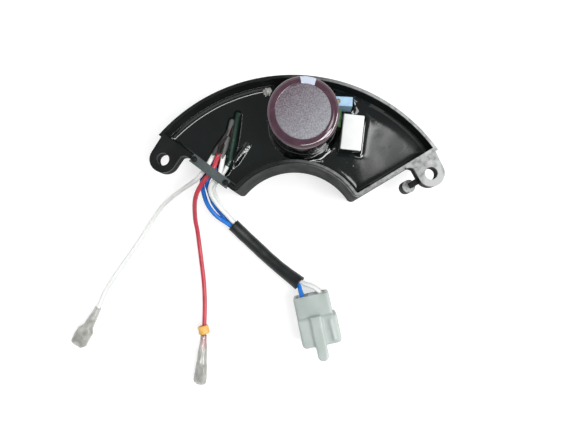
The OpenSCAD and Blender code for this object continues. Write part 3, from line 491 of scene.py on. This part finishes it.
def hollow_loft(name, rings_out, rings_in):
    """A closed tube between outer and inner rings of the same count."""
    sides, rings = len(rings_out[0]), len(rings_out)
    verts = [p for ring in rings_out for p in ring] + [p for ring in rings_in for p in ring]
    inner = rings * sides
    faces = []
    for i in range(rings - 1):
        for k in range(sides):
            a, b = i * sides + k, i * sides + (k + 1) % sides
            faces.append((a, b, b + sides, a + sides))
            faces.append((inner + a, inner + a + sides, inner + b + sides, inner + b))
    last = (rings - 1) * sides
    for k in range(sides):
        n = (k + 1) % sides
        faces.append((k, inner + k, inner + n, n))
        faces.append((last + k, last + n, inner + last + n, inner + last + k))
    return mesh_of(name, verts, faces)


def tinted(mesh, tints):
    layer = mesh.color_attributes.new("tint", "FLOAT_COLOR", "POINT")
    for item, tint in zip(layer.data, tints):
        item.color = tint


def piece(name, mesh_or_curve, key, slot, *replaced):
    obj = bpy.data.objects.new(name, mesh_or_curve)
    scene.collection.objects.link(obj)
    mesh_or_curve.materials.append(MATERIALS[key])
    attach(obj, ROOT)
    if replaced:
        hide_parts(*replaced)
    return obj


def on_wire(mouth, heading, roll):
    """The frame of what sits on a wire's end: Y runs on along the wire."""
    return (Matrix.Translation(mouth) @ Matrix.Rotation(math.radians(heading + 180), 4, "Z")
            @ Matrix.Rotation(math.radians(roll), 4, "Y"))


# Leads and harness
def wire(name, route, key, slot):
    """A round cord along a route, in place of the plain tube of the same name."""
    line = smooth(route, count=32)
    curve = bpy.data.curves.new(name, "CURVE")
    curve.dimensions = "3D"
    curve.bevel_depth = WIRE_D / 2 * MM
    curve.bevel_resolution = 6
    curve.resolution_u = 6
    curve.use_fill_caps = True
    spline = curve.splines.new("BEZIER")
    spline.bezier_points.add(len(line) - 1)
    for point, at in zip(spline.bezier_points, line):
        point.co = at * MM
        point.handle_left_type = point.handle_right_type = "AUTO"
    obj = piece(name + "_cord", curve, key, slot, name)


def harness_sleeve():
    """Tubing along the harness: a little wavy and lumpy, and flared at its last stretch."""
    sides, flare_from, lumpy = 40, 0.72, 0.09
    line = smooth(HARNESS, count=70)
    outer, inner = [], []
    for i, p in enumerate(line):
        s = side_at(line, i)
        u = s.cross(heading_at(line, i))
        t = i / (len(line) - 1)
        flare = HARNESS_FLARE * max(0, (t - flare_from) / (1 - flare_from)) ** 1.6
        wave = 0.042 * math.sin(t * 19) + 0.03 * math.sin(t * 43 + 1)
        for rings, wall in ((outer, HARNESS_WALL), (inner, 0)):
            ring = []
            for a in turns(sides):
                r = HARNESS_BORE + wall + flare + wave + lumpy * round_noise(a, 1, t * 9)
                ring.append(p + r * (math.cos(a) * s + math.sin(a) * u))
            rings.append(ring)
    return piece("harness_tubing", hollow_loft("harness_tubing", outer, inner), "harness", "harness_black",
                 "harness_sleeve")


def squared(value):
    """A sine or cosine, drawn out so that a circle becomes a rounded square."""
    return math.copysign(abs(value) ** 0.75, value)


def terminal_sleeve(name, node, mouth, heading, roll, back, wire_tint):
    """Shrunk sleeve: tight on the wire, wide over the blade, with a rounded tip, dents and streaks."""
    sides, rows, wire_half, skin = 40, 64, 2.3, 0.45
    shrunk, tip_length, tip_draw, dented = 0.55, 2, 0.95, 0.3
    first, last = -back, SLEEVE_STATIONS[-1][0]
    place = on_wire(mouth, heading, roll)
    outer, inner, tints = [], [], []
    for row in smooth(points((first, wire_half, wire_half), *SLEEVE_STATIONS), rows):
        tight = shrunk * (1 - eased(row.x, first, 1))
        tip = tip_draw * max(0.0, (row.x - last + tip_length) / tip_length) ** 2.5
        for rings, thinner in ((outer, 0), (inner, skin)):
            ring = []
            for a in turns(sides):
                x = squared(math.cos(-a)) * (row.y - thinner - tight - tip)
                z = squared(math.sin(-a)) * (row.z - thinner - tight - tip * 0.3)
                dent = dented * noise.noise(Vector((x * 0.6, row.x * 0.16, z * 0.6 + roll)))
                dent *= eased(row.x, first, first + 7)
                ring.append(place @ Vector((x * (1 + dent * 0.3), row.x, z * (1 + dent))))
            rings.append(ring)
        fade = 1 - eased(row.x, first + 1, first + 10)
        for a in turns(sides):
            streak = 0.55 + round_noise(a, 2.5, row.x * 0.1)
            tints.append((*wire_tint, fade * min(1.0, max(0.0, streak))))
    mesh = hollow_loft(name, outer, inner)
    tinted(mesh, tints * 2)
    return piece(name, mesh, "clear", "sleeve_clear", node)


def marker_ring():
    """Soft ring that hangs a little askew on its wire."""
    sides, rows, tilt, shoulder, lumpy, sunk = 48, 24, 16, 0.5, 0.16, 0.12
    place = on_wire(MARKER_AT, RED_HEADING + tilt, 0)
    outer, inner = [], []
    for i in range(rows + 1):
        t = i / rows
        y = (2 * t - 1) * MARKER_LENGTH / 2
        rounding = shoulder * (1 - min(1, min(t, 1 - t) * 7)) ** 2
        outer.append([])
        inner.append([])
        for a in turns(sides):
            lump = lumpy * round_noise(a, 2, 3 * t) - sunk
            for ring, r in ((outer[-1], MARKER_RADIUS - rounding + lump),
                            (inner[-1], MARKER_RADIUS - MARKER_WALL)):
                ring.append(place @ Vector((r * math.cos(a), y, r * math.sin(a))))
    return piece("marker_ring", hollow_loft("marker_ring", outer, inner), "marker", "marker_orange",
                 "marker_sleeve")


def connector_shell():
    """The housing with a moulding's soft edges: the solid rebuilt in fine even faces, then eased.

    Its front shroud then moves to one side, but not its latch tongue."""
    voxel, passes, tongue_half, shroud_half = 0.36, 24, 3.6, 6
    source = nodes["connector_housing"]
    mesh = source.data.copy()
    mesh.transform(source.matrix_world)
    mesh.materials.clear()
    obj = bpy.data.objects.new("connector_shell", mesh)
    scene.collection.objects.link(obj)
    even = obj.modifiers.new("even", "REMESH")
    even.mode = "VOXEL"
    even.voxel_size = voxel * MM
    ease = obj.modifiers.new("ease", "SMOOTH")
    ease.factor = 0.5
    ease.iterations = passes
    soft = bpy.data.meshes.new_from_object(obj.evaluated_get(bpy.context.evaluated_depsgraph_get()))
    bpy.data.objects.remove(obj)
    bpy.data.meshes.remove(mesh)
    place = on_wire(PLUG_AT, PLUG_HEADING, 0)
    back = place.inverted()
    for v in soft.vertices:
        at = back @ (v.co / MM)
        moved = eased(at.y, PLUG_REAR - 0.6, PLUG_REAR + 0.2) * eased(abs(at.x), tongue_half, shroud_half)
        at.x -= SHROUD_SHIFT * moved
        v.co = (place @ at) * MM
    shade_smooth(soft)
    return piece("connector_shell", soft, "nylon", "nylon", "connector_housing")


# Components
def capacitor_skin():
    """Shrink sleeve that is drawn over the end in a soft dome, up to the disc."""
    sides, rows_up, rows_over = 160, 24, 32
    wall, lip, drop, square = 0.35, 4.1, 2.4, 2.6
    low, high = (corner[2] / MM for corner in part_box("capacitor_sleeve"))
    rows = [(CAPACITOR_RADIUS, low + (high - drop - low) * i / rows_up) for i in range(rows_up)]
    for i in range(rows_over + 1):
        t = TURN / 4 * i / rows_over
        rows.append((CAPACITOR_RADIUS - lip + lip * max(0.0, math.cos(t)) ** (2 / square),
                     high - drop + drop * math.sin(t) ** (2 / square)))

    def circle(r, z):
        x, y = CAPACITOR_AT
        return [Vector((x + r * math.cos(a), y + r * math.sin(a), z)) for a in turns(sides)]

    outer = [circle(r, z) for r, z in rows]
    inner = [circle(min(r, CAPACITOR_RADIUS - wall), max(low, z - wall)) for r, z in rows]
    return piece("capacitor_skin", hollow_loft("capacitor_skin", outer, inner), "sleeve",
                 "capacitor_sleeve", "capacitor_sleeve")


def resin_collar():
    """Resin that has run up the capacitor's side, thin at its wavy top edge and lumpy below."""
    sides, rings = 200, 34
    foot, mean_top, thinnest, sunk = 20.5, 37, 0.04, 0.1
    outer, inner = [[] for _ in range(rings)], [[] for _ in range(rings)]
    for a in turns(sides):
        way = Vector((math.cos(a), math.sin(a), 0))
        top = mean_top + 7 * round_noise(a, 1.3, 0) + 2.5 * round_noise(a, 4, 0)
        for i in range(rings):
            t = i / (rings - 1)
            z = foot + (top - foot) * t
            lump = round_noise(a, 2.2, z * 0.16) + 0.08 * round_noise(a, 7, z * 0.4)
            thick = (0.6 + 0.75 * lump) * math.sqrt(1 - t * t) + 0.9 * (1 - t) ** 4
            centre = Vector((*CAPACITOR_AT, z))
            outer[i].append(centre + (CAPACITOR_RADIUS + max(thinnest, thick)) * way)
            inner[i].append(centre + (CAPACITOR_RADIUS - sunk) * way)
    mesh = hollow_loft("resin_collar", outer, inner)
    tinted(mesh, [(0, 0, 0, 0)] * len(mesh.vertices))
    return piece("resin_collar", mesh, "resin", "resin")


def film_capacitor():
    """Block with rounded edges, turned a little."""
    turn = Matrix.Rotation(math.radians(FILM_TURN), 3, "Z")
    centre = Vector((*FILM_AT, FILM_TOP - FILM_SIZE[2] / 2)) * MM
    bm = bmesh.new()
    bmesh.ops.create_cube(bm, size=1.0)
    bmesh.ops.scale(bm, vec=Vector(FILM_SIZE) * MM, verts=bm.verts)
    bmesh.ops.bevel(bm, geom=bm.edges[:], offset=FILM_EDGE * MM, segments=5, profile=0.6, affect="EDGES")
    bmesh.ops.rotate(bm, matrix=turn, verts=bm.verts)
    bmesh.ops.translate(bm, vec=centre, verts=bm.verts)
    return piece("film_case", mesh_from(bm, "film_case"), "film", "film_white", "film_capacitor")


def adhesive_dab():
    """Lumpy dab, a little flattened, that stands out of the resin."""
    radius, raised, lumpy, flat = 2.2, 0.8, 0.34, 0.8
    bm = bmesh.new()
    bmesh.ops.create_icosphere(bm, subdivisions=5, radius=radius * MM)
    for v in bm.verts:
        lump = noise.noise(v.co / MM * 0.9) + 0.6 * noise.noise(v.co / MM * 2.2)
        v.co *= 1 + lumpy * lump
        v.co.z *= flat
    bmesh.ops.translate(bm, vec=Vector((*DAB_AT, RESIN_LEVEL + raised)) * MM, verts=bm.verts)
    return piece("adhesive_lump", mesh_from(bm, "adhesive_lump"), "adhesive", "adhesive", "adhesive_dab")


# Resin: one height for each place in the tray
OUTER_CLIMB, INNER_CLIMB, BLOCK_CLIMB, CAPACITOR_CLIMB = (2.9, 1.8), (1.8, 1.1), (2.2, 1.2), (2.4, 1.1)
TRIMMER_LOW, TRIMMER_HIGH = (Vector(corner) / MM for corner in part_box("trimmer_body"))
TRIMMER_AT, TRIMMER_SIZE = (TRIMMER_LOW + TRIMMER_HIGH) / 2, TRIMMER_HIGH - TRIMMER_LOW
RIDGE_RADIUS, RIDGE_REACH, RIDGE_FOOT, RIDGE_TAPER = 1.6, 3.4, RESIN_LEVEL - 0.5, 0.8
RIDGE_X, RIDGE_Y, RIDGE_BLEND, RIDGE_LUMPS = (-50, -22), (-22, 16), 0.35, 0.12
TAPER_POINTS, TINT_GAIN = 9, 1.6
BLACK_COAT = (0.012, 0.016, 0.016)
BUBBLE_RISE, BUBBLE_REACH = 0.7, 3


def coat_line(start, route):
    """The line of a coated wire, on past the place where the bare wire starts."""
    before, past = route[0] + 0.6 * (route[0] - route[1]), route[0].lerp(route[1], 0.5)
    return smooth(start + [before, route[0], past], count=48)


RIDGES = [(coat_line(by_slot(*start), route), color) for start, route, color in (
    (((7.4, -25.2, 20.5), (6.7, -17.9, 21.8)), WHITE_LEAD, (0.09, 0.095, 0.095)),
    (((6.9, -28, 21), (5.5, -20.5, 22.6)), RED_LEAD, (0.03, 0.014, 0.015)),
    (((9.4, -29.9, 21.2), (5.4, -21.1, 22.6)), WHITE_A, (0.17, 0.175, 0.17)),
    (((9.1, -34.9, 21.2), (2.6, -23, 22.2), (-0.9, -15.7, 22.6)), WHITE_B, (0.022, 0.055, 0.04)),
)]
RIDGES += [(smooth(line, count=40), BLACK_COAT) for line in (
    by_slot((-5.1, -24.6, 20.6), (-5.1, -17.4, 21.4), (-5.6, -10.6, 21.2)),
    by_slot((4.1, -16.6, 20)) + BLUE_A[:2],
    by_slot((0.5, -16.6, 20)) + BLUE_B[:2],
)]


def scattered_bubbles():
    """Places and sizes: many on one side of the capacitor, and some all over."""
    rng = random.Random(11)
    bubbles = []
    for _ in range(34):
        a, r = rng.uniform(math.radians(150), math.radians(260)), rng.uniform(18.4, 23)
        x, y = CAPACITOR_AT[0] + r * math.cos(a), CAPACITOR_AT[1] + r * math.sin(a)
        bubbles.append((x, y, rng.uniform(0.16, 0.34)))
    for _ in range(40):
        bubbles.append((rng.uniform(-60, 60), rng.uniform(-14, 22), rng.uniform(0.12, 0.24)))
    return bubbles


BUBBLES = scattered_bubbles()


def ripple(x, y, scale, layer):
    return noise.noise(Vector((x * scale, y * scale, layer)))


def climb(rise, reach, away):
    """How far the resin climbs a wall: rise at the wall itself, dying away over reach."""
    return rise * math.exp(-max(0.0, away) / reach)


def wall_climb(x, y):
    """How far the resin climbs the tray's walls at a place: highest and widest along the outer wall."""
    outer = OUTER_RADIUS - RESIN_INSET - math.hypot(x, y - OUTER_Y)
    inner = math.hypot(x, y - INNER_Y) - INNER_RADIUS - RESIN_INSET
    end = (y - INNER_Y) * math.sin(END_ANGLE) - abs(x) * math.cos(END_ANGLE) - RESIN_INSET
    return max(climb(*OUTER_CLIMB, outer), climb(*INNER_CLIMB, min(inner, end)))


def block_climb(x, y, centre, size, turn):
    """How far the resin climbs a block's right side, with none at its front."""
    at = Matrix.Rotation(math.radians(-turn), 2) @ Vector((x - centre[0], y - centre[1]))
    half_x, half_y = size[0] / 2, size[1] / 2
    away = math.hypot(max(0.0, abs(at.x) - half_x), max(0.0, abs(at.y) - half_y))
    share = eased(at.x, 0, half_x + 1) * eased(at.y, -half_y - 2.5, -half_y + 1.5)
    return share * climb(*BLOCK_CLIMB, away)


def ridge_crest(line, i, d, x, y):
    """Height of a ridge at a distance from a point of its line. It is lower at the line's last points."""
    radius = RIDGE_RADIUS - RIDGE_TAPER * (1 - eased(len(line) - 1 - i, 0, TAPER_POINTS))
    fall = (1 - (d / RIDGE_REACH) ** 2) ** 2
    return RIDGE_FOOT + (line[i].z + radius - RIDGE_FOOT) * fall + RIDGE_LUMPS * ripple(x, y, 1.3, 1)


def with_ridges(height, x, y):
    """The height with the ridges over it, and the colour and weight of a coated wire that shows there."""
    color, weight = (0, 0, 0), 0.0
    for line, tint in RIDGES:
        i = min(range(len(line)), key=lambda k: (line[k].x - x) ** 2 + (line[k].y - y) ** 2)
        d = math.hypot(line[i].x - x, line[i].y - y)
        if d < RIDGE_REACH:
            over = ridge_crest(line, i, d, x, y) - height
            height += 0.5 * (over + math.hypot(over, RIDGE_BLEND)) - RIDGE_BLEND / 2 * math.exp(-abs(over))
            share = max(0.0, 1 - d / RIDGE_RADIUS)
            if share > weight:
                color, weight = tint, share
    return height, color, min(1.0, weight * TINT_GAIN)


def resin_height(x, y):
    """Height of the resin, and the colour and weight of a coated wire that shows there."""
    height = RESIN_LEVEL + wall_climb(x, y) + 0.06 * ripple(x, y, 0.12, 3)
    gap = math.hypot(x - CAPACITOR_AT[0], y - CAPACITOR_AT[1]) - CAPACITOR_RADIUS
    height += climb(*CAPACITOR_CLIMB, gap) * (0.8 + 0.3 * ripple(x, y, 0.3, 7))
    height += block_climb(x, y, FILM_AT, FILM_SIZE, FILM_TURN)
    height += block_climb(x, y, TRIMMER_AT, TRIMMER_SIZE, 0)
    for bubble_x, bubble_y, size in BUBBLES:
        away = math.hypot(x - bubble_x, y - bubble_y) / size
        if away < BUBBLE_REACH:
            height += BUBBLE_RISE * size * math.exp(-away * away)
    if RIDGE_X[0] < x < RIDGE_X[1] and RIDGE_Y[0] < y < RIDGE_Y[1]:
        return with_ridges(height, x, y)
    return height, (0, 0, 0), 0.0


def potting_resin():
    """The resin's top as a fan of points from the meeting place of the two end walls, with a flat base."""
    arcs, steps, base = 320, 130, 15.0
    apex_y = INNER_Y + RESIN_INSET / math.sin(END_ANGLE)

    def reach(way, centre_y, radius):
        gap = apex_y - centre_y
        return -gap * way.y + math.sqrt(radius ** 2 - (gap * way.x) ** 2)

    verts, tints = [], []
    for i in range(arcs + 1):
        a = END_ANGLE * (2 * i / arcs - 1)
        way = Vector((math.sin(a), math.cos(a)))
        near = reach(way, INNER_Y, INNER_RADIUS + RESIN_INSET)
        far = reach(way, OUTER_Y, OUTER_RADIUS - RESIN_INSET)
        for j in range(steps + 1):
            r = near + (far - near) * j / steps
            x, y = way.x * r, apex_y + way.y * r
            z, color, weight = resin_height(x, y)
            verts.append((x, y, z))
            tints.append((*color, weight))
    row = steps + 1
    faces = [(i * row + j, i * row + j + 1, (i + 1) * row + j + 1, (i + 1) * row + j)
             for i in range(arcs) for j in range(steps)]
    edge = ([i * row for i in range(arcs + 1)] + [arcs * row + j for j in range(1, row)]
            + [i * row + steps for i in range(arcs - 1, -1, -1)] + list(range(steps - 1, 0, -1)))
    low = {}
    for v in edge:
        low[v] = len(verts)
        verts.append((verts[v][0], verts[v][1], base))
        tints.append((0, 0, 0, 0))
    for a, b in zip(edge, edge[1:] + edge[:1]):
        faces.append((a, b, low[b], low[a]))
    faces.append(tuple(low[v] for v in edge))
    mesh = mesh_of("resin_fill", verts, faces)
    tinted(mesh, tints)
    return piece("resin_fill", mesh, "resin", "resin", "potting_resin")


# The dressed part
potting_resin()
capacitor_skin()
resin_collar()
film_capacitor()
adhesive_dab()
tubing = harness_sleeve()
white_cover = terminal_sleeve("white_terminal_cover", "white_terminal_sleeve", WHITE_MOUTH, WHITE_HEADING,
                              0, SLEEVE_BACK, (0.78, 0.79, 0.77))
red_cover = terminal_sleeve("red_terminal_cover", "red_terminal_sleeve", RED_MOUTH, RED_HEADING,
                            RED_ROLL, SLEEVE_BACK + RED_COVER_BACK, (0.6, 0.2, 0.22))
on_red_lead = [nodes["red_terminal"], red_cover, marker_ring()]
on_bundle = [connector_shell(), nodes["connector_contacts"], tubing]
wire("white_lead", WHITE_LEAD, "white_wire", "wire_white")
wire("red_lead", RED_LEAD, "red_wire", "wire_red")
wire("blue_wire_a", BLUE_A, "blue_wire", "wire_blue")
wire("blue_wire_b", BLUE_B, "blue_wire", "wire_blue")
wire("white_wire_a", WHITE_A, "white_wire", "wire_white")
wire("white_wire_b", WHITE_B, "white_wire", "wire_white")


# Stage, light and camera, in metres
def floor_material():
    """Pale floor that keeps shadows, and that the eye and reflections see as white."""
    glow = 0.62
    m = bpy.data.materials.new("pale_floor")
    m.use_nodes = True
    tree = m.node_tree
    shader = tree.nodes["Principled BSDF"]
    shader.inputs["Base Color"].default_value = (0.5, 0.5, 0.5, 1)
    shader.inputs["Roughness"].default_value = 0.9
    shader.inputs["Specular IOR Level"].default_value = 0.0
    shader.inputs["Emission Color"].default_value = (1, 1, 1, 1)
    path = add(tree, "ShaderNodeLightPath").outputs
    seen = larger(tree, larger(tree, path["Is Camera Ray"], path["Is Glossy Ray"]),
                  path["Is Transmission Ray"])
    tree.links.new(times(tree, seen, glow), shader.inputs["Emission Strength"])
    return m


def floor():
    """Round floor that sweeps up into a wall far out on all sides."""
    flat, sweep, height, low = 2.0, 1.2, 2.6, -0.0005
    sides, rings, bends = 96, 8, 12
    rows = [(flat * i / rings, low) for i in range(1, rings + 1)]
    for i in range(1, bends + 1):
        a = TURN / 4 * i / bends
        rows.append((flat + sweep * math.sin(a), low + sweep * (1 - math.cos(a))))
    rows.append((flat + sweep, height))
    verts, faces = [(0, 0, low)], []
    for r, z in rows:
        verts += [(r * math.cos(a), r * math.sin(a), z) for a in turns(sides)]
    for k in range(sides):
        n = (k + 1) % sides
        faces.append((0, 1 + k, 1 + n))
        for i in range(len(rows) - 1):
            a, b = 1 + i * sides + k, 1 + i * sides + n
            faces.append((a, a + sides, b + sides, b))
    mesh = bpy.data.meshes.new("floor")
    mesh.from_pydata(verts, [], faces)
    shade_smooth(mesh)
    mesh.materials.append(floor_material())
    obj = bpy.data.objects.new("floor", mesh)
    scene.collection.objects.link(obj)


def lamp(name, at, aim, size, power, in_gloss=True):
    """A rectangular area lamp. Without in_gloss, no shiny surface shows it."""
    data = bpy.data.lights.new(name, "AREA")
    data.shape = "RECTANGLE"
    data.size, data.size_y = size
    data.energy = power
    obj = bpy.data.objects.new(name, data)
    obj.location = at
    obj.rotation_euler = (Vector(aim) - Vector(at)).to_track_quat("-Z", "Y").to_euler()
    obj.visible_glossy = in_gloss
    scene.collection.objects.link(obj)


def photo_camera():
    """The photo's view, straight down. Its width, focal length and shift are in the photo's pixels."""
    width, focal, shift = 577, 440, (-14.5, 20.5)
    sensor, turned = 36, 3
    data = bpy.data.cameras.new("camera")
    data.sensor_width = sensor
    data.lens = sensor * focal / width
    data.shift_x, data.shift_y = (along / width for along in shift)
    data.clip_start = 0.01
    obj = bpy.data.objects.new("camera", data)
    obj.location = (0.005, -0.053, 0.262)
    obj.rotation_euler = (0, 0, math.radians(turned))
    scene.collection.objects.link(obj)
    return obj


scene.view_settings.view_transform = "Standard"
floor()
lamp("overhead", (0.5, -0.18, 1.0), (0, -0.03, 0.02), (0.35, 0.35), 4.1)
lamp("strip", (0.22, -0.42, 1.0), (0, 0, 0.02), (0.55, 0.12), 1.9)
lamp("panel", (0.28, 0.19, 1.1), (0.05, 0, 0.02), (0.2, 0.14), 0.5)
lamp("fill", (-0.32, 0.25, 1.05), (0, -0.05, 0.02), (1.0, 1.0), 3.0, in_gloss=False)
lamp("side", (-0.75, 0.5, 0.4), (0, -0.06, 0.01), (0.9, 0.5), 4.0, in_gloss=False)
lamp("window", (0.85, -0.1, 0.62), (0, 0, 0.02), (0.8, 0.22), 7.0)
world = bpy.data.worlds.new("studio")
world.use_nodes = True
world.node_tree.nodes["Background"].inputs["Color"].default_value = (1, 1, 1, 1)
world.node_tree.nodes["Background"].inputs["Strength"].default_value = 0.2
scene.world = world
scene.camera = photo_camera()
